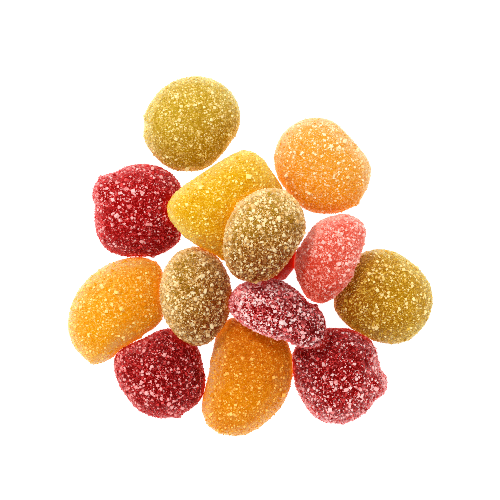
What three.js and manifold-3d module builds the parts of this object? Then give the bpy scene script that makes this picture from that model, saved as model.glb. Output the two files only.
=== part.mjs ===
// A small heap of sugared fruit jellies: nine lie flat on the table, and five lean on them and on
// each other. Lengths are in millimetres and angles in degrees. +Z is up. The heap is drawn as it is
// seen from above, with +X to the right and +Y up the page. The origin is on the table, under the
// middle of the heap.

import * as THREE from 'three';
import { mergeVertices } from 'three/addons/utils/BufferGeometryUtils.js';
import Module from 'manifold-3d';

const wasm = await Module();
wasm.setup();

// How finely a jelly is stepped.
const STEPS_ROUND = 28;
const STEPS_FOOT = 2;
const STEPS_DOME = 5;

// The moulded form that all the jellies share.
const HEIGHT = 12; // from the flat foot to the top of the dome
const RIM_SHARE = 0.24; // the widest level, as a share of the height
const FOOT_INSET = 0.17; // how far the flat foot stops short of the edge, as a share of the reach
const DOME_FULLNESS = 2.15; // 2 is an ellipse, and more is fuller
const CORNER_SHARPNESS = 16; // how tight the corners beside a flat side are
const SAG = 0.35; // depth of the soft hollows in a dome
const SAG_PITCH = 7.5; // distance between those hollows
const FROST = 0.3; // unevenness of the fine sugar coat, from its lowest to its highest

// The coarse sugar grains that stand out of the fine coat.
const GRAIN_TRIES = 26; // places tried on each jelly, of which the hidden ones stay bare
const GRAIN_LONG = [0.8, 1.35]; // the smallest and largest length
const GRAIN_WIDE = [0.7, 1]; // the narrowest and widest, as a share of the length
const GRAIN_THICK = 0.8; // thickness as a share of the length
const GRAIN_PROUD = 0.2; // how far a grain's middle stands out, as a share of its length
const GRAIN_LOWEST = 2.2; // no grain lies lower than this
const GRAIN_FACING = -0.1; // least upward tilt of the surface that holds a grain

const GAP = 0.3; // clearance between jellies that touch
const SETTLED = 0.01; // a leaning jelly stops this close to its clearance
const FAR_OFF = 40; // farther than any jelly reaches, to lower one or to look at it from

// Colours of the jelly, as they show through the sugar.
const FLAVOURS = {
  lime: { color: '#b18a24', roughness: 0.5 },
  lemon: { color: '#e8ae1c', roughness: 0.45 },
  orange: { color: '#ec9a1e', roughness: 0.45 },
  cherry: { color: '#a8161c', roughness: 0.5 },
  raspberry: { color: '#e0523f', roughness: 0.5 },
};

// Every jelly. `size` is its length and width, `turn` its length's angle from +X and `squareness` 2
// for an ellipse or more for a fuller form. Each of `flats` is a straighter side, facing `at` an
// angle, `off` from the middle, and each of `bumps` stands out or in `by` so much over a `wide`
// angle. `cap` is the smaller lobe moulded beside the body, as on a berry with its leaf. `lean`
// tips the dome's axis from upright `toward` a compass angle, and a leaning jelly is lowered until
// it touches what lies before it in this list.
const JELLIES = [
  {
    name: 'lime_top',
    flavour: 'lime',
    at: [-16.0, 35.5],
    size: [27.4, 24.8],
    turn: 39,
    flats: [
      { at: 225, off: 13.4 },
      { at: 270, off: 13.2 },
      { at: 322, off: 11.3 },
    ],
    bumps: [{ at: 180, by: -0.5, wide: 8 }],
  },
  {
    name: 'cherry_left',
    flavour: 'cherry',
    at: [-29.4, 12.1],
    size: [25.2, 25.4],
    flats: [
      { at: 356, off: 10.8 },
      { at: 268, off: 12.2 },
    ],
    bumps: [
      { at: 222, by: 1.4, wide: 26 },
      { at: 325, by: 0.5, wide: 12 },
    ],
    cap: { at: [-7.9, 5.0], size: [11.0, 10.0], turn: 30, height: 9.5 },
  },
  {
    name: 'orange_top',
    flavour: 'orange',
    at: [19.2, 24.2],
    size: [27.4, 24.4],
    turn: 128,
    flats: [
      { at: 42, off: 10.8 },
      { at: 216, off: 11.7 },
      { at: 270, off: 13.2 },
    ],
    bumps: [{ at: 0, by: 0.5, wide: 16 }],
  },
  {
    name: 'lime_right',
    flavour: 'lime',
    at: [36.0, -11.1],
    size: [26.6, 25.2],
    turn: 140,
    flats: [
      { at: 52, off: 12.1 },
      { at: 152, off: 12.9 },
      { at: 244, off: 11.7 },
    ],
    bumps: [{ at: 194, by: 0.9, wide: 12 }],
  },
  {
    name: 'orange_left',
    flavour: 'orange',
    at: [-35.6, -14.7],
    size: [31.4, 23.6],
    turn: 46,
    flats: [
      { at: 303, off: 8.9 },
      { at: 0, off: 12.3 },
    ],
    bumps: [
      { at: 52, by: 0.9, wide: 14 },
      { at: 250, by: 1.7, wide: 11 },
    ],
  },
  {
    name: 'cherry_bottom_left',
    flavour: 'cherry',
    at: [-24.2, -31.5],
    size: [25.4, 24.0],
    turn: 150,
    flats: [
      { at: 8, off: 11.4 },
      { at: 120, off: 10.1 },
      { at: 212, off: 11.6 },
    ],
    bumps: [{ at: 152, by: 1.0, wide: 16 }],
  },
  {
    name: 'orange_bottom',
    flavour: 'orange',
    at: [-1.1, -32.5],
    size: [32.4, 23.8],
    turn: 76,
    flats: [
      { at: 171, off: 10.0 },
      { at: 90, off: 16.4 },
      { at: 308, off: 13.3 },
    ],
    bumps: [
      { at: 113, by: 2.0, wide: 15 },
      { at: 228, by: 1.8, wide: 24 },
    ],
  },
  {
    name: 'cherry_bottom_right',
    flavour: 'cherry',
    at: [22.9, -32.4],
    size: [24.0, 25.8],
    turn: 10,
    flats: [
      { at: 180, off: 11.3 },
      { at: 208, off: 11.1 },
    ],
    bumps: [
      { at: 46, by: 1.0, wide: 22 },
      { at: 148, by: 1.0, wide: 16 },
    ],
    cap: { at: [9.8, -1.6], size: [9.2, 7.6], turn: -60, height: 8.5 },
  },
  {
    name: 'cherry_under',
    flavour: 'cherry',
    at: [4.5, -0.2],
    size: [15.6, 13.6],
    turn: 174,
    height: 11,
    flats: [{ at: 140, off: 3.0 }],
  },
  {
    name: 'lemon',
    flavour: 'lemon',
    at: [-5.7, 13.4],
    size: [30.6, 22.8],
    turn: 33,
    squareness: 4,
    flats: [
      { at: 123, off: 11.2 },
      { at: 233, off: 13.8 },
      { at: 251, off: 13.0 },
    ],
    bumps: [{ at: 272, by: 2.0, wide: 9 }],
    lean: { toward: 0, by: 15 },
  },
  {
    name: 'lime_left',
    flavour: 'lime',
    at: [-13.9, -10.2],
    size: [25.4, 19.0],
    turn: 92,
    bumps: [{ at: 276, by: 1.2, wide: 14 }],
    lean: { toward: 15, by: 22 },
  },
  {
    name: 'cherry_middle',
    flavour: 'cherry',
    at: [6.0, -12.9],
    size: [22.6, 17.5],
    turn: -18,
    height: 11.5,
    cap: { at: [8.6, -4.2], size: [12.6, 12.6], turn: -22, height: 9.2 },
    lean: { toward: 68, by: 65 },
  },
  {
    name: 'lime_middle',
    flavour: 'lime',
    at: [4.6, 5.5],
    size: [25.4, 20.8],
    turn: 60,
    flats: [{ at: 325, off: 9.0 }],
    bumps: [{ at: 228, by: 0.9, wide: 25 }],
    lean: { toward: 350, by: 22 },
  },
  {
    name: 'raspberry',
    flavour: 'raspberry',
    at: [20.1, 0.6],
    size: [23.8, 17.6],
    turn: 60,
    flats: [{ at: 340, off: 7.3 }],
    bumps: [
      { at: 46, by: 0.6, wide: 14 },
      { at: 188, by: 1.8, wide: 16 },
      { at: 252, by: 1.4, wide: 14 },
    ],
    lean: { toward: 156, by: 50 },
  },
];

const { degToRad: radians, lerp } = THREE.MathUtils;

/** A source of repeatable random numbers from 0 to 1 (mulberry32). */
function seeded(seed) {
  let state = seed;
  return () => {
    state = (state + 0x6d2b79f5) | 0;
    let mixed = Math.imul(state ^ (state >>> 15), 1 | state);
    mixed = (mixed + Math.imul(mixed ^ (mixed >>> 7), 61 | mixed)) ^ mixed;
    return ((mixed ^ (mixed >>> 14)) >>> 0) / 4294967296;
  };
}

/** Distance from a lobe's middle to its edge, at an angle in radians. */
function reachOf({ size, turn = 0, squareness = 2, flats = [], bumps = [] }, angle) {
  const own = angle - radians(turn);
  const along = Math.abs(Math.cos(own)) / (size[0] / 2);
  const across = Math.abs(Math.sin(own)) / (size[1] / 2);
  const full = (along ** squareness + across ** squareness) ** (-1 / squareness);
  const sum = flats.reduce((total, { at, off }) => {
    const facing = Math.max(0, Math.cos(angle - radians(at)));
    return total + (facing / off) ** CORNER_SHARPNESS;
  }, full ** -CORNER_SHARPNESS);
  return bumps.reduce((reach, { at, by, wide }) => {
    const off = Math.atan2(Math.sin(angle - radians(at)), Math.cos(angle - radians(at)));
    return reach + by * Math.exp(-((off / radians(wide)) ** 2));
  }, sum ** (-1 / CORNER_SHARPNESS));
}

/** The side of a jelly from its foot's edge to just under its top, as shares of reach and height. */
function sideProfile() {
  const side = [];
  for (let i = 0; i < STEPS_FOOT; i++) {
    const lift = (Math.PI / 2) * (i / STEPS_FOOT - 1);
    side.push([1 - FOOT_INSET * (1 - Math.cos(lift)), RIM_SHARE * (1 + Math.sin(lift))]);
  }
  for (let i = 0; i < STEPS_DOME; i++) {
    const lift = (Math.PI / 2) * (i / STEPS_DOME);
    const power = 2 / DOME_FULLNESS;
    side.push([Math.cos(lift) ** power, RIM_SHARE + (1 - RIM_SHARE) * Math.sin(lift) ** power]);
  }
  return side;
}

/** One closed lobe with a flat foot at z = 0. `phase` shifts its hollows and seeds its frost. */
function lobeGeometry(lobe, phase) {
  const height = lobe.height ?? HEIGHT;
  const random = seeded(phase + 1);
  const side = sideProfile();
  const points = [];
  const faces = [];
  const add = (x, y, share) => {
    const hollow = Math.sin((2 * x) / SAG_PITCH + phase) * Math.cos((2 * y) / SAG_PITCH - phase);
    const z = height * share + SAG * hollow * Math.max(0, (share - RIM_SHARE) / (1 - RIM_SHARE));
    points.push(x, y, z);
  };
  for (const [reachShare, heightShare] of side) {
    for (let i = 0; i < STEPS_ROUND; i++) {
      const angle = (2 * Math.PI * i) / STEPS_ROUND;
      const frost = heightShare > RIM_SHARE ? FROST * (random() - 0.5) : 0;
      const reach = reachOf(lobe, angle) * reachShare + frost;
      add(reach * Math.cos(angle), reach * Math.sin(angle), heightShare);
    }
  }
  const foot = points.length / 3;
  add(0, 0, 0);
  const top = points.length / 3;
  add(0, 0, 1);
  const last = (side.length - 1) * STEPS_ROUND;
  for (let i = 0; i < STEPS_ROUND; i++) {
    const next = (i + 1) % STEPS_ROUND;
    faces.push(foot, next, i);
    faces.push(top, last + i, last + next);
    for (let ring = 0; ring < side.length - 1; ring++) {
      const low = ring * STEPS_ROUND;
      const high = low + STEPS_ROUND;
      faces.push(low + i, low + next, high + next);
      faces.push(low + i, high + next, high + i);
    }
  }
  return new THREE.BufferGeometry()
    .setAttribute('position', new THREE.Float32BufferAttribute(points, 3))
    .setIndex(faces);
}

/** A closed three.js geometry as a solid that can be joined and measured. */
function toSolid(geometry) {
  const bare = geometry.clone();
  bare.deleteAttribute('normal');
  bare.deleteAttribute('uv');
  const merged = mergeVertices(bare);
  return new wasm.Manifold(
    new wasm.Mesh({
      numProp: 3,
      vertProperties: new Float32Array(merged.attributes.position.array),
      triVerts: new Uint32Array(merged.index.array),
    }),
  );
}

/** A solid as a three.js geometry. */
function toGeometry(solid) {
  const mesh = solid.getMesh();
  return new THREE.BufferGeometry()
    .setAttribute('position', new THREE.Float32BufferAttribute(mesh.vertProperties, 3))
    .setIndex(new THREE.BufferAttribute(mesh.triVerts, 1));
}

/** The bare jelly, with its cap if it has one, round the middle of its own height. */
function bareJelly(jelly, phase) {
  let solid = toSolid(lobeGeometry(jelly, phase));
  if (jelly.cap) {
    const cap = lobeGeometry(jelly.cap, phase).translate(jelly.cap.at[0], jelly.cap.at[1], 0);
    solid = solid.add(toSolid(cap));
  }
  return solid.translate([0, 0, -(jelly.height ?? HEIGHT) / 2]);
}

/** The rotation that tips a jelly's dome over. */
function leanOf({ lean }) {
  if (!lean) return new THREE.Quaternion();
  const toward = radians(lean.toward);
  const axis = new THREE.Vector3(-Math.sin(toward), Math.cos(toward), 0);
  return new THREE.Quaternion().setFromAxisAngle(axis, radians(lean.by));
}

/** Whether two solids' boxes come within `reach` of each other, in plan or in all directions. */
function isNear(one, other, reach, axes = [0, 1, 2]) {
  const a = one.boundingBox();
  const b = other.boundingBox();
  return axes.every((i) => a.min[i] < b.max[i] + reach && b.min[i] < a.max[i] + reach);
}

/** The lowest height for a leaning jelly's middle that keeps it clear of the table and the others. */
function settledHeight(solid, others) {
  const below = others.filter((other) => isNear(solid, other, GAP, [0, 1]));
  let height = FAR_OFF;
  for (;;) {
    const placed = solid.translate([0, 0, height]);
    const gaps = below.map((other) => placed.minGap(other, FAR_OFF) - GAP);
    const spare = Math.min(placed.boundingBox().min[2], ...gaps);
    if (spare < SETTLED) return height;
    height -= spare;
  }
}

/** Sugar grains on the outside of a placed jelly, spread evenly and clear of the other jellies. */
function grainsOn(mesh, others, random) {
  const goldenAngle = Math.PI * (3 - Math.sqrt(5));
  const caster = new THREE.Raycaster();
  const grains = [];
  for (let i = 0; i < GRAIN_TRIES; i++) {
    const up = 1 - (2 * i + 1) / GRAIN_TRIES;
    const round = i * goldenAngle + random();
    const out = new THREE.Vector3(Math.cos(round), Math.sin(round), 0)
      .multiplyScalar(Math.sqrt(1 - up * up))
      .setZ(up);
    const long = lerp(...GRAIN_LONG, random() ** 2);
    const wide = long * lerp(...GRAIN_WIDE, random());
    const grain = new THREE.BoxGeometry(long, wide, long * GRAIN_THICK);
    grain.rotateX(Math.PI * random()).rotateY(Math.PI * random()).rotateZ(Math.PI * random());
    caster.set(mesh.position.clone().addScaledVector(out, FAR_OFF), out.clone().negate());
    const [hit] = caster.intersectObject(mesh);
    if (!hit) continue;
    const normal = hit.face.normal.clone().applyQuaternion(mesh.quaternion);
    if (normal.z < GRAIN_FACING || hit.point.z < GRAIN_LOWEST) continue;
    const at = hit.point.clone().addScaledVector(normal, long * GRAIN_PROUD);
    const solid = toSolid(grain.translate(at.x, at.y, at.z));
    const near = others.filter((other) => isNear(solid, other, GAP));
    if (near.every((other) => solid.minGap(other, 2 * GAP) > GAP)) grains.push(solid);
  }
  return grains;
}

const heap = new THREE.Group();
heap.name = 'sugared_fruit_jellies';

// First every bare jelly goes to its place, in the order of the list, and then the grains go on.
const placed = JELLIES.map((jelly, index) => ({ jelly, index }));
for (const item of placed) {
  const { jelly, index } = item;
  const bare = bareJelly(jelly, index);
  const { color, roughness } = FLAVOURS[jelly.flavour];
  const mesh = new THREE.Mesh(
    toGeometry(bare),
    new THREE.MeshStandardMaterial({ color, roughness, metalness: 0 }),
  );
  mesh.name = jelly.name;
  mesh.quaternion.copy(leanOf(jelly));
  mesh.position.set(...jelly.at, 0);
  mesh.updateMatrixWorld();
  const unraised = bare.transform(mesh.matrixWorld.elements);
  const earlier = placed.slice(0, index).map(({ solid }) => solid);
  mesh.position.z = jelly.lean ? settledHeight(unraised, earlier) : (jelly.height ?? HEIGHT) / 2;
  mesh.updateMatrixWorld();
  item.mesh = mesh;
  item.solid = bare.transform(mesh.matrixWorld.elements);
}
for (const item of placed) {
  const others = placed.filter((other) => other !== item).map(({ solid }) => solid);
  const grains = grainsOn(item.mesh, others, seeded(item.index + 1));
  item.solid = item.solid.add(wasm.Manifold.union(grains));
}
for (const { mesh, solid } of placed) {
  const back = mesh.matrixWorld.clone().invert();
  mesh.geometry = toGeometry(solid.transform(back.elements));
  heap.add(mesh);
}

// The middle of the heap's box goes over the origin.
const middle = new THREE.Box3().setFromObject(heap).getCenter(new THREE.Vector3());
heap.position.set(-middle.x, -middle.y, 0);

export default heap;
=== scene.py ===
"""A small heap of sugared fruit jellies on a bright white table, seen from straight above.

Each jelly is a smooth, slightly uneven translucent body, and a coat of separate sugar crystals lies
on it. Bodies and coats take their places and forms from the frame's nodes. Lengths are in metres.
"""

import logging
from dataclasses import dataclass, field
from enum import Enum

import bpy
import numpy as np
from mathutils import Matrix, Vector, noise
from mathutils.bvhtree import BVHTree


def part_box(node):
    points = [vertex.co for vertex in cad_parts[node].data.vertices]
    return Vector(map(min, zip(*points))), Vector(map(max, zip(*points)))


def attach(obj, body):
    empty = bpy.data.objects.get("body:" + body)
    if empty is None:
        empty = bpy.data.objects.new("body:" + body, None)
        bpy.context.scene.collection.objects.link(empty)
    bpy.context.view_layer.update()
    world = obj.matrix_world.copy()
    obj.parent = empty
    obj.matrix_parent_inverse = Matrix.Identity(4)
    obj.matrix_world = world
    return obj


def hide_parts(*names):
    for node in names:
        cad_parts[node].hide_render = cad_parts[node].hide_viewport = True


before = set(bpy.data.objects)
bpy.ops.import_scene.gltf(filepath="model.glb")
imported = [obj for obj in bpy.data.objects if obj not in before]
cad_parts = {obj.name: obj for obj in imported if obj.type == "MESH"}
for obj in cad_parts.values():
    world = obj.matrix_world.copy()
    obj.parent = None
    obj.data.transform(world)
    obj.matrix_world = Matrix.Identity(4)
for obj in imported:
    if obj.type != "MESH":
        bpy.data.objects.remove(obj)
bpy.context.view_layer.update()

MM = 0.001
BODY = "root"
KEY_SIDE = np.array([-0.6, 0.8])  # the way to the key light, seen from above, towards which the painted lit side leans
NOISE_RANGE = (0.3, 0.7)  # where nearly all the values of a noise texture lie

Colour = tuple[float, float, float, float]
Range = tuple[float, float]
Socket = bpy.types.NodeSocket

BLACK: Colour = (0.0, 0.0, 0.0, 1.0)
GREY: Colour = (0.5, 0.5, 0.5, 1.0)
WHITE: Colour = (1.0, 1.0, 1.0, 1.0)

log = logging.getLogger("jellies")


class Flavour(Enum):
    """The fruit that a jelly is coloured and named after."""

    LIME = "lime_jelly"
    LEMON = "lemon_jelly"
    ORANGE = "orange_jelly"
    CHERRY = "cherry_jelly"
    RASPBERRY = "raspberry_jelly"


class Grade(Enum):
    """How coarse and how dense the sugar on a jelly is."""

    THIN = "thin"
    FINE = "fine"
    MIXED = "mixed"
    COARSE = "coarse"


def linear(code: str) -> Colour:
    """Turns a colour's hex code into linear light, along the usual sRGB curve.

    Args:
        code: six hex digits, red first.

    Returns:
        Red, green, blue and an alpha of 1.
    """
    parts = [int(code[i : i + 2], 16) / 255 for i in (0, 2, 4)]
    light = [p / 12.92 if p <= 0.04045 else ((p + 0.055) / 1.055) ** 2.4 for p in parts]
    return (*light, 1.0)


def smooth_step(low: float, high: float, x: np.ndarray) -> np.ndarray:
    """Eases from 0 at low to 1 at high.

    Args:
        low: where the ease starts.
        high: where it ends.
        x: the values to ease.

    Returns:
        The eased values, from 0 to 1.
    """
    t = np.clip((x - low) / (high - low), 0, 1)
    return t * t * (3 - 2 * t)


def write_looks(mesh: bpy.types.Mesh, looks: dict[str, np.ndarray]) -> None:
    """Writes values of a mesh's points on it, for its material to read.

    Args:
        mesh: the mesh.
        looks: one value a point, under each name.
    """
    for name, values in looks.items():
        attribute = mesh.attributes.new(name, "FLOAT", "POINT")
        attribute.data.foreach_set("value", values.astype(np.float32))


class Shader:
    """A material's node tree, with short ways to add nodes and join them.

    The sockets given by number are those of a Mix node's colours and a Map Range node's limits, which
    share their names with others.
    """

    LOW_COLOUR = 6
    HIGH_COLOUR = 7
    MIXED_COLOUR = 2
    LIMITS = slice(1, 5)

    def __init__(self, name: str) -> None:
        """Makes a material with a Principled shader on its output.

        Args:
            name: the material's name.
        """
        self.material = bpy.data.materials.new(name)
        self.material.use_nodes = True
        self.nodes = self.material.node_tree.nodes
        self.links = self.material.node_tree.links
        self.surface = self.nodes["Principled BSDF"]

    def add(self, kind: str, **values: object) -> bpy.types.Node:
        """Adds a node.

        Args:
            kind: the node's type, without "ShaderNode".
            values: properties of the node.

        Returns:
            The new node.
        """
        node = self.nodes.new("ShaderNode" + kind)
        for name, value in values.items():
            setattr(node, name, value)
        return node

    def join(self, source: Socket, target: Socket) -> None:
        """Links one socket to another."""
        self.links.new(source, target)

    def own(self, name: str) -> Socket:
        """Gives the value of one of the mesh's own attributes."""
        return self.add("Attribute", attribute_name=name).outputs["Fac"]

    def feed(self, value: Socket | Colour | float, socket: Socket) -> None:
        """Gives a socket its value, by a link if the value comes from another socket."""
        if isinstance(value, Socket):
            self.join(value, socket)
        else:
            socket.default_value = value

    def blend(
        self, share: Socket | float, low: Socket | Colour, high: Socket | Colour
    ) -> Socket:
        """Mixes two colours.

        Args:
            share: 0 for the first colour, 1 for the second.
            low: the first colour, or a socket that gives it.
            high: the second colour, or a socket that gives it.

        Returns:
            The mixed colour's socket.
        """
        mix = self.add("Mix", data_type="RGBA")
        self.feed(share, mix.inputs["Factor"])
        self.feed(low, mix.inputs[self.LOW_COLOUR])
        self.feed(high, mix.inputs[self.HIGH_COLOUR])
        return mix.outputs[self.MIXED_COLOUR]

    def reckon(self, operation: str, first: Socket, second: Socket) -> Socket:
        """Works out a sum or a product.

        Args:
            operation: the Math node's operation.
            first: the first value.
            second: the second value.

        Returns:
            The result's socket.
        """
        node = self.add("Math", operation=operation)
        self.join(first, node.inputs[0])
        self.join(second, node.inputs[1])
        return node.outputs[0]

    def pattern(self, kind: str, pitch: float) -> bpy.types.Node:
        """Adds a texture that lies fixed in the object.

        Args:
            kind: the texture node's type, without "ShaderNode".
            pitch: how far apart its grains or cells lie.

        Returns:
            The texture's node.
        """
        texture = self.add(kind)
        texture.inputs["Scale"].default_value = 1 / pitch
        self.join(self.add("TexCoord").outputs["Object"], texture.inputs["Vector"])
        return texture

    def spread(self, value: Socket, source: Range, target: Range) -> Socket:
        """Maps a value from one range to another, clamped.

        Args:
            value: the socket to map.
            source: the range it comes in.
            target: the range it goes to.

        Returns:
            The mapped value's socket.
        """
        node = self.add("MapRange")
        for socket, number in zip(node.inputs[self.LIMITS], (*source, *target)):
            socket.default_value = number
        self.join(value, node.inputs[0])
        return node.outputs[0]

    def set(self, **values: object) -> None:
        """Sets the Principled shader's own sockets, whose names have _ for a space."""
        for name, value in values.items():
            self.surface.inputs[name.replace("_", " ")].default_value = value


@dataclass(frozen=True)
class Palette:
    """The colours given to the jellies that share this palette, as hex codes, and how far each colour
    of light goes in it.

    `deep` is painted shade on its shaded side, `rim` a painted glow on the thin edge of that side,
    `full` its lit side and `pale` a painted glow on the edge of the lit side, where light comes
    through. `tint` is a clear crystal on it, and `white` a crystal that is white sugar with a painted
    highlight where it catches the light. `frost` is how strongly the fine sugar speckles it.
    """

    name: str
    deep: str
    rim: str
    full: str
    pale: str
    tint: str
    white: str
    reach: tuple[float, float, float]
    frost: float = 1.0

    def colours(self) -> list[Colour]:
        """Gives deep, rim, full, pale, tint and white in linear light."""
        codes = (self.deep, self.rim, self.full, self.pale, self.tint, self.white)
        return [linear(code) for code in codes]

    def jelly(self) -> bpy.types.Material:
        """Gives the jelly's material for this palette, with its painted shade and glow, made once."""
        name = self.name + "_flesh"
        return bpy.data.materials.get(name) or JellyLookWithPaintedLight(self).material(name)

    def sugar(self) -> bpy.types.Material:
        """Gives the material of the crystals for this palette, with their painted shade and glow, made
        once.
        """
        name = self.name + "_crystals"
        return bpy.data.materials.get(name) or SugarLookWithPaintedLight(self).material(name)


# Painted light shared by the jelly and sugar materials: painted shade, a painted glow by emission, and
# sugar dulled near neighbours.
@dataclass(frozen=True)
class PaintedLight:
    """The painted shade and painted glow that a jelly and its crystals share, most where a neighbour
    shuts off the sky.

    There an emitted painted glow stands in for light that has gone through the jelly: `through` is its
    strength, and `faint` the share of the surface's colour that glows everywhere. `shut_white` is how
    much of its white the sugar keeps there, as painted shade.
    """

    palette: Palette
    through: float = 0.52
    faint: float = 0.15
    shut_white: float = 0.55

    def shade(self, shader: Shader) -> Socket:
        """Gives the painted shade of the shaded side, with the painted glow of its thin edge."""
        deep, rim, *_ = self.palette.colours()
        return shader.blend(shader.own("edge"), deep, rim)

    def white_left(self, shader: Shader) -> Socket:
        """Gives how much of its white the sugar keeps, as painted shade where a neighbour shuts off the
        sky.
        """
        return shader.spread(shader.own("shut"), (0, 1), (1, self.shut_white))

    def colour_in(self, shader: Shader, colour: Socket) -> None:
        """Puts a colour on the surface, and a painted glow of it and of the edge's rim colour as
        emission.

        Args:
            shader: the material's shader.
            colour: the surface's colour.
        """
        _, rim, *_ = self.palette.colours()
        # painted glow: an emission, though the jelly is no lamp, strongest where a neighbour shuts off
        # the sky
        faint_glow = shader.blend(self.faint, BLACK, colour)
        light = shader.blend(shader.own("shut"), faint_glow, rim)
        shader.join(colour, shader.surface.inputs["Base Color"])
        shader.join(light, shader.surface.inputs["Emission Color"])
        shader.set(Emission_Strength=self.through)


@dataclass(frozen=True)
class JellyLookWithPaintedLight(PaintedLight):
    """Translucent fruit jelly under a thin frost of melted sugar, coloured with painted shade and
    painted glow.

    Every cell of the frost has a number from 0 to 1. The cells whose number is low are shaded, those
    where it is high are tinted, and those where it is highest are white.
    """

    roughness: float = 0.38
    gloss: float = 0.03
    refraction: float = 1.45
    cloudiness: float = 0.25
    scatter: float = 2.5 * MM
    cloud_pitch: float = 5.0 * MM
    cloud_detail: float = 3.0
    cloud_swing: float = 0.2
    frost_pitch: float = 0.34 * MM
    frost_relief: float = 0.6
    frost_height: float = 0.1 * MM
    shaded_at: Range = (0.0, 0.4)
    shaded_share: float = 0.6
    tinted_at: Range = (0.60, 0.80)
    tinted_share: float = 0.7
    white_at: Range = (0.92, 0.98)
    white_share: float = 0.85

    def material(self, name: str) -> bpy.types.Material:
        """Builds the jelly's material, with its painted shade and glow.

        Args:
            name: the material's name.

        Returns:
            The material.
        """
        shader = Shader(name)
        frost = shader.pattern("TexVoronoi", self.frost_pitch)
        self.colour_in(shader, self.frosted(shader, frost, self.flesh(shader)))
        bump = shader.add("Bump")
        bump.inputs["Strength"].default_value = self.frost_relief
        bump.inputs["Distance"].default_value = self.frost_height
        shader.join(frost.outputs["Distance"], bump.inputs["Height"])
        shader.join(bump.outputs["Normal"], shader.surface.inputs["Normal"])
        shader.set(
            Roughness=self.roughness,
            Subsurface_Weight=self.cloudiness,
            Subsurface_Radius=self.palette.reach,
            Subsurface_Scale=self.scatter,
            IOR=self.refraction,
            Specular_IOR_Level=self.gloss,
        )
        return shader.material

    def flesh(self, shader: Shader) -> Socket:
        """Gives the jelly's colour under the frost: painted shade on the shaded side, lit, and a pale
        painted glow where light comes through.
        """
        _, _, full, pale, *_ = self.palette.colours()
        clouds = shader.pattern("TexNoise", self.cloud_pitch)
        clouds.inputs["Detail"].default_value = self.cloud_detail
        swing = (-self.cloud_swing, self.cloud_swing)
        cloudy = shader.spread(clouds.outputs["Fac"], NOISE_RANGE, swing)
        # painted light: lit and shaded copies of the jelly's colour, with random clouds between
        lit = shader.reckon("ADD", shader.own("open"), cloudy)
        return shader.blend(shader.own("glow"), shader.blend(lit, self.shade(shader), full), pale)

    def frosted(self, shader: Shader, frost: bpy.types.Node, flesh: Socket) -> Socket:
        """Speckles the jelly's colour with the frost's cells, and dulls their bright ones as painted
        shade where a neighbour shuts off the sky.

        Args:
            shader: the material's shader.
            frost: the texture of cells.
            flesh: the jelly's own colour.

        Returns:
            The speckled colour's socket.
        """
        deep, *_, tint, white = self.palette.colours()
        split = shader.add("SeparateColor")
        shader.join(frost.outputs["Color"], split.inputs[0])
        cell = split.outputs["Red"]
        strength = self.palette.frost
        shaded = shader.spread(cell, self.shaded_at, (strength * self.shaded_share, 0))
        tinted = shader.spread(cell, self.tinted_at, (0, strength * self.tinted_share))
        whitest = shader.spread(cell, self.white_at, (0, strength * self.white_share))
        dull = shader.blend(shaded, flesh, deep)
        bright = shader.blend(whitest, shader.blend(tinted, dull, tint), white)
        # painted shade: the bright cells dull where a neighbour shuts off the sky
        return shader.blend(self.white_left(shader), dull, bright)


@dataclass(frozen=True)
class SugarLookWithPaintedLight(PaintedLight):
    """Sugar crystals: the jelly's colour, with its painted shade, is painted on most of them as if it
    showed through, and some are white.

    A crystal up to `clear_to` in whiteness has the jelly's colour, at `tinted_at` the palette's tint,
    and from `white_at` its white. `dimmest` is how much of that gives way to painted shade on the
    shaded side.
    """

    clear_to: float = 0.10
    tinted_at: float = 0.50
    white_at: float = 0.95
    dimmest: float = 0.3
    grain_pitch: float = 0.3 * MM
    roughness: Range = (0.25, 0.50)
    gloss: float = 0.1
    refraction: float = 1.54
    cloudiness: float = 0.1
    reach: tuple[float, float, float] = (1.0, 0.8, 0.6)
    scatter: float = 0.2 * MM

    def material(self, name: str) -> bpy.types.Material:
        """Builds the crystals' material, with their painted shade and glow.

        Args:
            name: the material's name.

        Returns:
            The material.
        """
        _, _, full, _, tint, white = self.palette.colours()
        shader = Shader(name)
        # painted shade: the crystals take the jelly's shaded or lit colour
        under = shader.blend(shader.own("open"), self.shade(shader), full)
        whiteness = shader.own("whiteness")
        tinted = shader.spread(whiteness, (self.clear_to, self.tinted_at), (0, 1))
        whitest = shader.spread(whiteness, (self.tinted_at, self.white_at), (0, 1))
        crystal = shader.blend(whitest, shader.blend(tinted, under, tint), white)
        # painted shade: crystals lose their colour to it on the shaded side and where a neighbour shuts
        # off the sky
        lit = shader.spread(shader.own("open"), (0, 1), (1 - self.dimmest, 1))
        kept = shader.reckon("MULTIPLY", lit, self.white_left(shader))
        self.colour_in(shader, shader.blend(kept, under, crystal))
        grain = shader.pattern("TexNoise", self.grain_pitch)
        rough = shader.spread(grain.outputs["Fac"], NOISE_RANGE, self.roughness)
        shader.join(rough, shader.surface.inputs["Roughness"])
        shader.set(
            Subsurface_Weight=self.cloudiness,
            Subsurface_Radius=self.reach,
            Subsurface_Scale=self.scatter,
            IOR=self.refraction,
            Specular_IOR_Level=self.gloss,
        )
        return shader.material


AMBER_REACH = (1.0, 0.62, 0.12)
GOLD_REACH = (1.0, 0.66, 0.12)
ORANGE_REACH = (1.0, 0.45, 0.10)
RED_REACH = (1.0, 0.10, 0.08)
PINK_REACH = (1.0, 0.25, 0.18)

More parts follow.
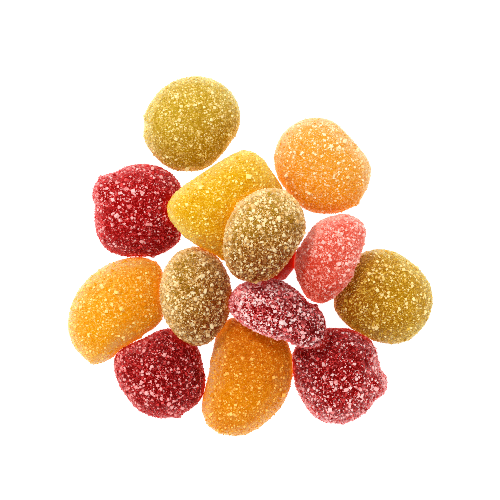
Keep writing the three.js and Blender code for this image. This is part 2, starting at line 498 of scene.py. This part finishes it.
# Jellies of one flavour are given palettes of their own; in each, deep, rim and pale are painted shade
# and painted glow.
PALE_LIME = Palette(
    "pale_lime", "A87400", "D4A020", "C4A024", "D4D098", "F4D06C", "FFECA8", AMBER_REACH, 0.9
)
GOLD_LIME = Palette(
    "gold_lime", "8C4600", "BC7810", "BA880C", "CCC080", "E8BC48", "FFE8A0", AMBER_REACH, 0.9
)
BROWN_LIME = Palette(
    "brown_lime", "7C2C00", "B45810", "BC9420", "D8C08C", "F0BE70", "FFECB8", AMBER_REACH
)
LEMON = Palette("lemon", "CC7C00", "E89804", "DEA804", "ECD480", "FCD850", "FFF098", GOLD_REACH, 0.6)
PALE_ORANGE = Palette(
    "pale_orange", "E88C0C", "F89C20", "E69E2C", "ECC89C", "F8D48C", "FFF0C4", ORANGE_REACH, 0.6
)
ORANGE = Palette(
    "orange", "E08400", "F8981C", "E89C04", "ECCCA0", "F8CC5C", "FFE490", ORANGE_REACH, 0.6
)
DEEP_ORANGE = Palette(
    "deep_orange", "C46000", "F89420", "DA8000", "F0C088", "F4A830", "FFCC68", ORANGE_REACH, 0.6
)
CHERRY = Palette("cherry", "7C0000", "C01404", "A20000", "D87070", "E43C3C", "FFC4C0", RED_REACH)
DARK_CHERRY = Palette(
    "dark_cherry", "680000", "BC1808", "880000", "CC6868", "E03838", "FFB4B0", RED_REACH
)
# pale is a bright painted glow on this cherry's lit edge
BRIGHT_GLOW_CHERRY = Palette(
    "bright_glow_cherry", "6C0000", "C42418", "8C0000", "F4B8B8", "E84444", "FFD4D0", RED_REACH
)
FROSTED_CHERRY = Palette(
    "frosted_cherry", "580000", "A80C0C", "900000", "E89090", "FF7474", "FFE0DC", RED_REACH
)
WET_CHERRY = Palette(
    "wet_cherry", "A00800", "C41C04", "B41000", "D05040", "C83020", "FF9080", RED_REACH, 0.2
)
RASPBERRY = Palette(
    "raspberry", "C83018", "FF7860", "E45E48", "ECB4A8", "FCA490", "FFD0C4", PINK_REACH
)


@dataclass
class JellyBody:
    """The smooth translucent body of one jelly, made from its node without the coarse grains.

    `dusk` is how far its painted shade comes over its middle. `spare` is each point's distance to the
    nearest neighbour, and `looks` holds the masks of its painted light, each from 0 to 1: how `open`
    and lit each point is painted, lighter on the side that looks out of the heap and darker near
    neighbours;
    how much painted glow comes out of it at the lit edge (`glow`); whether it is on the steep `edge`,
    where the shaded side's rim glow is painted; and how much a neighbour has it `shut` off from the
    sky, where painted glow and painted shade go.
    """

    node: str
    dusk: float
    voxel: float = 0.55 * MM
    rounds: int = 16
    smoothing: float = 0.5
    foot: float = 0.15 * MM
    dent: float = 0.16 * MM
    dent_pitch: float = 3.4 * MM
    swell: float = 0.3 * MM
    press: float = 0.8
    contact: float = 0.05 * MM
    open_at: float = 4.0 * MM
    shut_at: float = 3.0 * MM
    common_width: float = 24.0 * MM
    lean_out: float = 1.1
    lean_to_key: float = 0.4
    least_lean: float = 0.9
    lit_across: Range = (-1.0, 0.8)
    lit_always: float = 0.7
    lit_if_free: float = 0.3
    glow_across: Range = (-0.9, 0.3)
    glow_side: Range = (0.05, 0.75)
    edge_side: Range = (0.35, 0.9)
    grain_proud: float = 0.2 * MM
    grain_width: float = 1.2 * MM
    grain_lowest: float = 2.0 * MM
    points: np.ndarray = field(init=False)
    normals: np.ndarray = field(init=False)
    triangles: np.ndarray = field(init=False)
    spare: np.ndarray = field(init=False)
    looks: dict[str, np.ndarray] = field(init=False)
    mesh: bpy.types.Mesh = field(init=False)

    def shape(self) -> None:
        """Rounds a copy of the node's mesh and gives it gentle dents."""
        draft = bpy.data.objects.new(self.node + "_draft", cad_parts[self.node].data.copy())
        bpy.context.collection.objects.link(draft)
        remesh = draft.modifiers.new("even", "REMESH")
        remesh.mode = "VOXEL"
        remesh.voxel_size = self.voxel
        smooth = draft.modifiers.new("round", "SMOOTH")
        smooth.factor = self.smoothing
        smooth.iterations = self.rounds
        ready = draft.evaluated_get(bpy.context.evaluated_depsgraph_get())
        self.mesh = bpy.data.meshes.new_from_object(ready)
        bpy.data.objects.remove(draft)
        self.mesh.name = self.node + "_body"
        self._read()
        on_table = self.points[:, 2] < self.foot
        lift = np.array([noise.noise(Vector(p / self.dent_pitch)) for p in self.points])
        lift[on_table] = 0
        self._move_out(lift * self.dent)
        self.mesh.shade_smooth()

    def _move_out(self, distance: np.ndarray) -> None:
        """Moves each point along its normal, but never under the table.

        Args:
            distance: how far each point moves.
        """
        self.points += self.normals * distance[:, None]
        self.points[:, 2] = np.maximum(self.points[:, 2], 0)
        self.mesh.vertices.foreach_set("co", self.points.astype(np.float32).ravel())
        self.mesh.update()
        self._read()

    def _read(self) -> None:
        """Takes the mesh's points, normals and triangles into arrays."""
        count = len(self.mesh.vertices)
        flat = np.empty(count * 3, np.float32)
        self.mesh.vertices.foreach_get("co", flat)
        self.points = flat.reshape(-1, 3).astype(float)
        self.mesh.vertices.foreach_get("normal", flat)
        self.normals = flat.reshape(-1, 3).astype(float)
        self.mesh.calc_loop_triangles()
        corners = np.empty(len(self.mesh.loop_triangles) * 3, np.int32)
        self.mesh.loop_triangles.foreach_get("vertices", corners)
        self.triangles = corners.reshape(-1, 3)

    def tree(self) -> BVHTree:
        """Gives a search tree of the body's triangles."""
        return BVHTree.FromPolygons(self.points.tolist(), self.triangles.tolist())

    def fill_out(self, neighbours: list[BVHTree]) -> None:
        """Lets the soft body swell until it all but touches the bodies beside it.

        Args:
            neighbours: the search trees of the bodies that come close.
        """
        self.spare = np.full(len(self.points), self.open_at)
        for tree in neighbours:
            for i, point in enumerate(self.points):
                found = tree.find_nearest(point, self.spare[i])
                if found[3] is not None:
                    self.spare[i] = found[3]
        swell = self.swell * (1 + self.press * self._shut())
        self._move_out(np.clip((self.spare - self.contact) / 2, 0, swell))

    def _shut(self) -> np.ndarray:
        """Gives how much a neighbour has each point shut off from the sky."""
        return 1 - smooth_step(0, self.shut_at, self.spare)

    def light_up(self, others: list[np.ndarray]) -> None:
        """Works out where the jelly gets painted light and painted shade: its lit side looks out of the
        heap.

        Args:
            others: the middles of all the other bodies.
        """
        middle = self.points.mean(axis=0)
        away = (middle - np.array(others))[:, :2]
        far = np.linalg.norm(away, axis=1, keepdims=True)
        pull = (away / far**3).sum(0) / (1 / far**2).sum()
        outward = self.lean_out * pull + self.lean_to_key * KEY_SIDE
        outward *= max(1, self.least_lean / np.linalg.norm(outward))
        across = (self.points - middle)[:, :2] @ outward / (0.5 * self.common_width)
        free = smooth_step(0, self.open_at, self.spare)
        side = 1 - np.clip(self.normals[:, 2], 0, 1)
        lit = smooth_step(*self.lit_across, across - self.dusk)
        # painted light: the lit side, darker near neighbours, the lit edge's glow, the steep rim and
        # the shut-off places
        self.looks = {
            "open": lit * (self.lit_always + self.lit_if_free * free),
            "glow": free * smooth_step(*self.glow_across, across) * smooth_step(*self.glow_side, side),
            "edge": smooth_step(*self.edge_side, side),
            "shut": self._shut(),
        }
        write_looks(self.mesh, self.looks)

    def grains(self) -> list[int]:
        """Finds where the node's coarse grains stand out of the smooth body.

        Returns:
            The number of the body's point under each grain.
        """
        tree = self.tree()
        found = []
        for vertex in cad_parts[self.node].data.vertices:
            near, normal, _, distance = tree.find_nearest(vertex.co)
            outside = (vertex.co - near).dot(normal) > 0
            if outside and distance > self.grain_proud and near.z > self.grain_lowest:
                found.append(np.array(near))
        under = []
        while found:
            cluster = [p for p in found if np.linalg.norm(p - found[0]) < self.grain_width]
            found = [p for p in found if np.linalg.norm(p - found[0]) >= self.grain_width]
            middle = np.mean(cluster, axis=0)
            under.append(int(np.argmin(np.linalg.norm(self.points - middle, axis=1))))
        return under


@dataclass(frozen=True)
class Shape:
    """A closed crystal of size 1 round its own middle, as corners and faces."""

    corners: np.ndarray
    faces: list[tuple[int, ...]]


BLOCK = Shape(
    np.array([[x, y, z] for x in (-1, 1) for y in (-1, 1) for z in (-1, 1)], float) / 2,
    [(0, 1, 3, 2), (4, 6, 7, 5), (0, 4, 5, 1), (2, 3, 7, 6), (0, 2, 6, 4), (1, 5, 7, 3)],
)
SHARD = Shape(
    np.array([[0.6, 0, 0], [-0.3, 0.52, 0], [-0.3, -0.52, 0], [0, 0, 0.6], [0, 0, -0.6]]),
    [(0, 1, 3), (1, 2, 3), (2, 0, 3), (1, 0, 4), (2, 1, 4), (0, 2, 4)],
)


@dataclass(frozen=True)
class CrystalLayer:
    """One size of crystal on a jelly.

    `pitch` is how far apart the crystals lie, `sunk` the share of its size that each lies under the
    surface, and `bright` the share of them that look white. Without a pitch they lie where the node
    has its coarse grains.
    """

    shape: Shape
    pitch: float | None
    small: float
    large: float
    sunk: float
    bright: float


LAYERS = {
    Grade.THIN: (CrystalLayer(SHARD, 0.60 * MM, 0.20 * MM, 0.34 * MM, 0.55, 0.05),),
    Grade.FINE: (
        CrystalLayer(SHARD, 0.43 * MM, 0.20 * MM, 0.36 * MM, 0.56, 0.16),
        CrystalLayer(BLOCK, 1.30 * MM, 0.32 * MM, 0.58 * MM, 0.52, 0.45),
    ),
    Grade.MIXED: (
        CrystalLayer(SHARD, 0.43 * MM, 0.22 * MM, 0.40 * MM, 0.52, 0.22),
        CrystalLayer(BLOCK, 1.20 * MM, 0.34 * MM, 0.66 * MM, 0.46, 0.50),
    ),
    Grade.COARSE: (
        CrystalLayer(SHARD, 0.43 * MM, 0.24 * MM, 0.44 * MM, 0.46, 0.42),
        CrystalLayer(BLOCK, 1.15 * MM, 0.36 * MM, 0.70 * MM, 0.40, 0.65),
    ),
}
LUMP = CrystalLayer(BLOCK, None, 0.60 * MM, 0.95 * MM, 0.36, 1.60)


@dataclass
class Crystals:
    """Places on a jelly for crystals of one layer, with the surface's normals and looks there."""

    places: np.ndarray
    normals: np.ndarray
    looks: dict[str, np.ndarray]


@dataclass
class SugarCoat:
    """The sugar crystals on one jelly, as one mesh of separate small solids.

    `white` and `clear` are the middle and the spread of how white a crystal is that catches the light,
    white sugar with a painted highlight, and one that doesn't. More crystals catch it on the painted
    lit side, and crystals on an edge's painted glow are drawn towards `edge_white`.
    """

    body: JellyBody
    grade: Grade
    seed: int
    tries: int = 4
    bare_below: float = 0.6 * MM
    near: float = 0.3 * MM
    lumps_above: float = 0.5
    patch_pitch: float = 4.0 * MM
    patchiness: float = 0.9
    bright_always: float = 0.35
    bright_if_open: float = 0.85
    white: Range = (0.90, 0.14)
    clear: Range = (0.14, 0.2)
    edge_white: float = 0.6
    edge_pull: float = 0.6
    steep: Range = (0.1, 0.5)
    steep_smaller: float = 0.3
    steep_deeper: float = 0.3
    fineness: float = 1.5
    stretch: Range = (0.65, 1.35)
    jitter: float = 0.12

    def scatter(self, layer: CrystalLayer, rng: np.random.Generator) -> Crystals:
        """Picks places on the body, about one in each cell of the layer's pitch.

        Args:
            layer: the size of crystal.
            rng: the source of random numbers.

        Returns:
            The places, with the surface's normals and looks there.
        """
        body = self.body
        corners = body.points[body.triangles]
        cross = np.cross(corners[:, 1] - corners[:, 0], corners[:, 2] - corners[:, 0])
        double_area = np.linalg.norm(cross, axis=1)
        count = int(self.tries * double_area.sum() / 2 / layer.pitch**2)
        chosen = rng.choice(len(corners), count, p=double_area / double_area.sum())
        u, v = rng.random(count), rng.random(count)
        over = u + v > 1
        u[over], v[over] = 1 - u[over], 1 - v[over]
        weight = np.stack([1 - u - v, u, v], 1)
        places = (corners[chosen] * weight[:, :, None]).sum(1)
        cells = np.floor(places / layer.pitch).astype(int)
        _, first = np.unique(cells, axis=0, return_index=True)
        mine, weight = body.triangles[chosen[first]], weight[first]
        normals = (body.normals[mine] * weight[:, :, None]).sum(1)
        looks = {name: (values[mine] * weight).sum(1) for name, values in body.looks.items()}
        return Crystals(places[first], normals, looks)

    def lumps(self) -> Crystals:
        """Gives the places of the jelly's coarse grains, apart from those on its steep sides."""
        body = self.body
        here = [i for i in body.grains() if body.normals[i, 2] > self.lumps_above]
        looks = {name: values[here] for name, values in body.looks.items()}
        return Crystals(body.points[here], body.normals[here], looks)

    def whiteness(
        self, layer: CrystalLayer, spots: Crystals, rng: np.random.Generator
    ) -> np.ndarray:
        """Draws how white each crystal is: most are clear, some are white sugar with a painted
        highlight.

        Args:
            layer: the size of crystal.
            spots: where the crystals lie.
            rng: the source of random numbers.

        Returns:
            A value from 0, clear, to 1, white, for each crystal.
        """
        count = len(spots.places)
        patches = np.array([noise.noise(Vector(p / self.patch_pitch)) for p in spots.places])
        # painted light: more crystals are white on the painted lit side
        lit = self.bright_always + self.bright_if_open * spots.looks["open"]
        share = layer.bright * lit * (1 + self.patchiness * patches)
        catches = rng.random(count) < share
        white = rng.normal(*self.white, count)
        clear = rng.normal(*self.clear, count)
        drawn = np.where(catches, white, clear)
        # painted glow: crystals on the glowing edge are drawn paler
        drawn = drawn + (self.edge_white - drawn) * self.edge_pull * spots.looks["glow"]
        return np.clip(drawn, 0, 1)

    def build(self, neighbours: list[BVHTree]) -> bpy.types.Mesh:
        """Builds the crystals' mesh.

        Args:
            neighbours: the search trees of the other bodies, which the crystals keep clear of.

        Returns:
            The mesh, with each crystal's whiteness and the looks of the jelly under it.
        """
        rng = np.random.default_rng(self.seed)
        points, faces = [], []
        looks = {"whiteness": [], "open": [], "edge": [], "shut": []}
        start = 0
        coat = [(layer, self.scatter(layer, rng)) for layer in LAYERS[self.grade]]
        for layer, spots in [*coat, (LUMP, self.lumps())]:
            spots.looks["whiteness"] = self.whiteness(layer, spots, rng)
            solids, kept = self.crystals(layer, spots, rng, neighbours)
            corners = solids.shape[1]
            for i in range(len(solids)):
                faces += [[start + corners * i + k for k in face] for face in layer.shape.faces]
            start += len(solids) * corners
            points.append(solids.reshape(-1, 3))
            for name, values in looks.items():
                values.append(np.repeat(spots.looks[name][kept], corners))
        mesh = bpy.data.meshes.new(self.body.node + "_sugar")
        mesh.from_pydata(np.concatenate(points), [], faces)
        write_looks(mesh, {name: np.concatenate(values) for name, values in looks.items()})
        mesh.update()
        return mesh

    def crystals(
        self,
        layer: CrystalLayer,
        spots: Crystals,
        rng: np.random.Generator,
        neighbours: list[BVHTree],
    ) -> tuple[np.ndarray, np.ndarray]:
        """Makes one crystal at each place that is free.

        Args:
            layer: the size of crystal.
            spots: where the crystals may lie.
            rng: the source of random numbers.
            neighbours: the search trees of the other bodies.

        Returns:
            The corners of each crystal, and the numbers of the places that hold one.
        """
        count = len(spots.places)
        steep = 1 - smooth_step(*self.steep, np.abs(spots.normals[:, 2]))
        size = layer.small + (layer.large - layer.small) * rng.random(count) ** self.fineness
        size = size * (1 - self.steep_smaller * steep)
        stretch = rng.uniform(*self.stretch, (count, 1, 3))
        ideal = layer.shape.corners
        jitter = rng.uniform(-self.jitter, self.jitter, (count, len(ideal), 3))
        corner = (ideal[None] * stretch + jitter) * size[:, None, None]
        rise = size * (0.5 - layer.sunk - self.steep_deeper * steep)
        middle = spots.places + spots.normals * rise[:, None]
        points = np.einsum("nij,nkj->nki", random_turns(count, rng), corner)
        points += middle[:, None]
        under = (spots.places[:, 2] < self.bare_below) & (spots.normals[:, 2] < 0)
        free = (points[:, :, 2].min(1) > 0) & ~under
        for i in np.flatnonzero(free):
            free[i] = all(t.find_nearest(middle[i], self.near)[0] is None for t in neighbours)
        kept = np.flatnonzero(free)
        return points[kept], kept


def random_turns(count: int, rng: np.random.Generator) -> np.ndarray:
    """Draws turns with no favoured direction.

    Args:
        count: how many.
        rng: the source of random numbers.

    Returns:
        One 3 by 3 rotation for each.
    """
    turn = rng.normal(size=(count, 4))
    turn /= np.linalg.norm(turn, axis=1, keepdims=True)
    w, x, y, z = turn.T
    rows = [
        [1 - 2 * (y * y + z * z), 2 * (x * y - z * w), 2 * (x * z + y * w)],
        [2 * (x * y + z * w), 1 - 2 * (x * x + z * z), 2 * (y * z - x * w)],
        [2 * (x * z - y * w), 2 * (y * z + x * w), 1 - 2 * (x * x + y * y)],
    ]
    return np.moveaxis(np.array(rows), 2, 0)


@dataclass
class Sweet:
    """One sugared jelly: its body and its coat."""

    node: str
    flavour: Flavour
    palette: Palette
    grade: Grade
    seed: int
    dusk: float = 0.0
    body: JellyBody = field(init=False)

    def shape(self) -> None:
        """Makes the body's mesh."""
        self.body = JellyBody(self.node, self.dusk)
        self.body.shape()

    def dress(self, neighbours: list[BVHTree], others: list[np.ndarray]) -> None:
        """Puts the body and its sugar in the scene, with their materials and painted light.

        Args:
            neighbours: the search trees of the other bodies that come close.
            others: the middles of all the other bodies.
        """
        self.body.light_up(others)
        jelly = bpy.data.objects.new(self.node + "_jelly", self.body.mesh)
        self.body.mesh.materials.clear()
        self.body.mesh.materials.append(self.palette.jelly())
        bpy.context.collection.objects.link(jelly)
        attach(jelly, BODY)
        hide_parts(self.node)

        mesh = SugarCoat(self.body, self.grade, self.seed).build(neighbours)
        mesh.materials.append(self.palette.sugar())
        sugar = bpy.data.objects.new(self.node + "_sugar", mesh)
        bpy.context.collection.objects.link(sugar)
        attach(sugar, BODY)
        mesh.calc_loop_triangles()
        log.info(
            "%s: %d faces of jelly, %d triangles of sugar",
            self.node,
            len(self.body.mesh.polygons),
            len(mesh.loop_triangles),
        )


SWEETS = [
    Sweet("lime_top", Flavour.LIME, PALE_LIME, Grade.FINE, 11),
    Sweet("cherry_left", Flavour.CHERRY, CHERRY, Grade.MIXED, 12),
    Sweet("lemon", Flavour.LEMON, LEMON, Grade.FINE, 13),
    Sweet("lime_middle", Flavour.LIME, BROWN_LIME, Grade.COARSE, 14, 0.2),
    Sweet("orange_top", Flavour.ORANGE, PALE_ORANGE, Grade.FINE, 15),
    Sweet("raspberry", Flavour.RASPBERRY, RASPBERRY, Grade.MIXED, 16),
    Sweet("lime_right", Flavour.LIME, GOLD_LIME, Grade.FINE, 17),
    Sweet("orange_left", Flavour.ORANGE, ORANGE, Grade.FINE, 18),
    Sweet("lime_left", Flavour.LIME, BROWN_LIME, Grade.COARSE, 19, 0.4),
    Sweet("cherry_middle", Flavour.CHERRY, FROSTED_CHERRY, Grade.COARSE, 20),
    Sweet("cherry_bottom_left", Flavour.CHERRY, DARK_CHERRY, Grade.MIXED, 21),
    Sweet("orange_bottom", Flavour.ORANGE, DEEP_ORANGE, Grade.FINE, 22),
    Sweet("cherry_bottom_right", Flavour.CHERRY, BRIGHT_GLOW_CHERRY, Grade.MIXED, 23),
    Sweet("cherry_under", Flavour.CHERRY, WET_CHERRY, Grade.THIN, 24),
]


@dataclass
class Heap:
    """All the jellies. Each is shaped before any is dressed, because they keep clear of each other."""

    sweets: list[Sweet]
    margin: float = 5.0 * MM

    def build(self) -> None:
        """Shapes and dresses every jelly."""
        for sweet in self.sweets:
            sweet.shape()
        trees = {sweet.node: sweet.body.tree() for sweet in self.sweets}
        for sweet in self.sweets:
            sweet.body.fill_out(self.beside(sweet, trees))
        trees = {sweet.node: sweet.body.tree() for sweet in self.sweets}
        middles = {sweet.node: sweet.body.points.mean(axis=0) for sweet in self.sweets}
        for sweet in self.sweets:
            others = [place for node, place in middles.items() if node != sweet.node]
            sweet.dress(self.beside(sweet, trees), others)

    def beside(self, sweet: Sweet, trees: dict[str, BVHTree]) -> list[BVHTree]:
        """Picks the bodies that come close to one of the jellies.

        Args:
            sweet: the jelly.
            trees: the search tree of each jelly's body.

        Returns:
            The search trees of the others whose boxes come within the margin of its own.
        """
        low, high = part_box(sweet.node)
        near = []
        for node, tree in trees.items():
            its_low, its_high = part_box(node)
            apart = any(
                low[i] - self.margin > its_high[i] or high[i] + self.margin < its_low[i]
                for i in range(3)
            )
            if node != sweet.node and not apart:
                near.append(tree)
        return near


@dataclass
class Studio:
    """The table, the soft lights and the camera."""

    table_side: float = 3.0
    table_drop: float = 0.05 * MM
    table_roughness: float = 0.6
    table_glow: float = 1.0
    sky: float = 0.88
    key_power: float = 5.0
    key_side: float = 0.2
    key_at: tuple[float, float, float] = (-0.45, 0.55, 0.9)
    camera_height: float = 0.600
    view_width: float = 0.135
    view_level: float = 0.004
    aim: tuple[float, float] = (-0.00002, 0.00174)
    film: float = 36.0
    nearest: float = 0.05
    sharpness: float = 0.8

    def table(self) -> None:
        """Lays the white table, which glows a little as a lit one does."""
        half = self.table_side / 2
        mesh = bpy.data.meshes.new("table")
        rim = [(-half, -half, 0), (half, -half, 0), (half, half, 0), (-half, half, 0)]
        mesh.from_pydata(rim, [], [(0, 1, 2, 3)])
        shader = Shader("table")
        shader.set(
            Base_Color=GREY,
            Roughness=self.table_roughness,
            Emission_Color=WHITE,
            Emission_Strength=self.table_glow,
        )
        mesh.materials.append(shader.material)
        table = bpy.data.objects.new("table", mesh)
        table.location.z = -self.table_drop
        bpy.context.collection.objects.link(table)

    def lights(self) -> None:
        """Hangs the key light up to the left, in an even white room."""
        world = bpy.data.worlds.new("room")
        world.use_nodes = True
        sky = world.node_tree.nodes["Background"]
        sky.inputs["Color"].default_value = WHITE
        sky.inputs["Strength"].default_value = self.sky
        bpy.context.scene.world = world
        lamp = bpy.data.lights.new("key", "AREA")
        lamp.energy = self.key_power
        lamp.size = self.key_side
        key = bpy.data.objects.new("key", lamp)
        key.location = self.key_at
        key.rotation_euler = (-Vector(self.key_at)).to_track_quat("-Z", "Y").to_euler()
        bpy.context.collection.objects.link(key)

    def camera(self) -> None:
        """Sets the camera straight above the heap, with +Y up the picture."""
        lens = bpy.data.cameras.new("camera")
        lens.sensor_width = self.film
        lens.lens = self.film * (self.camera_height - self.view_level) / self.view_width
        lens.clip_start = self.nearest
        camera = bpy.data.objects.new("camera", lens)
        camera.location = (*self.aim, self.camera_height)
        bpy.context.collection.objects.link(camera)
        bpy.context.scene.camera = camera
        bpy.context.scene.view_settings.view_transform = "Standard"
        bpy.context.scene.cycles.filter_width = self.sharpness
        bpy.context.scene.cycles.use_denoising = False

    def build(self) -> None:
        """Builds the table, the lights and the camera."""
        self.table()
        self.lights()
        self.camera()


def main() -> None:
    """Builds the studio and the heap."""
    logging.basicConfig(level=logging.INFO, format="%(name)s: %(message)s")
    Studio().build()
    Heap(SWEETS).build()


if __name__ == "__main__":
    main()
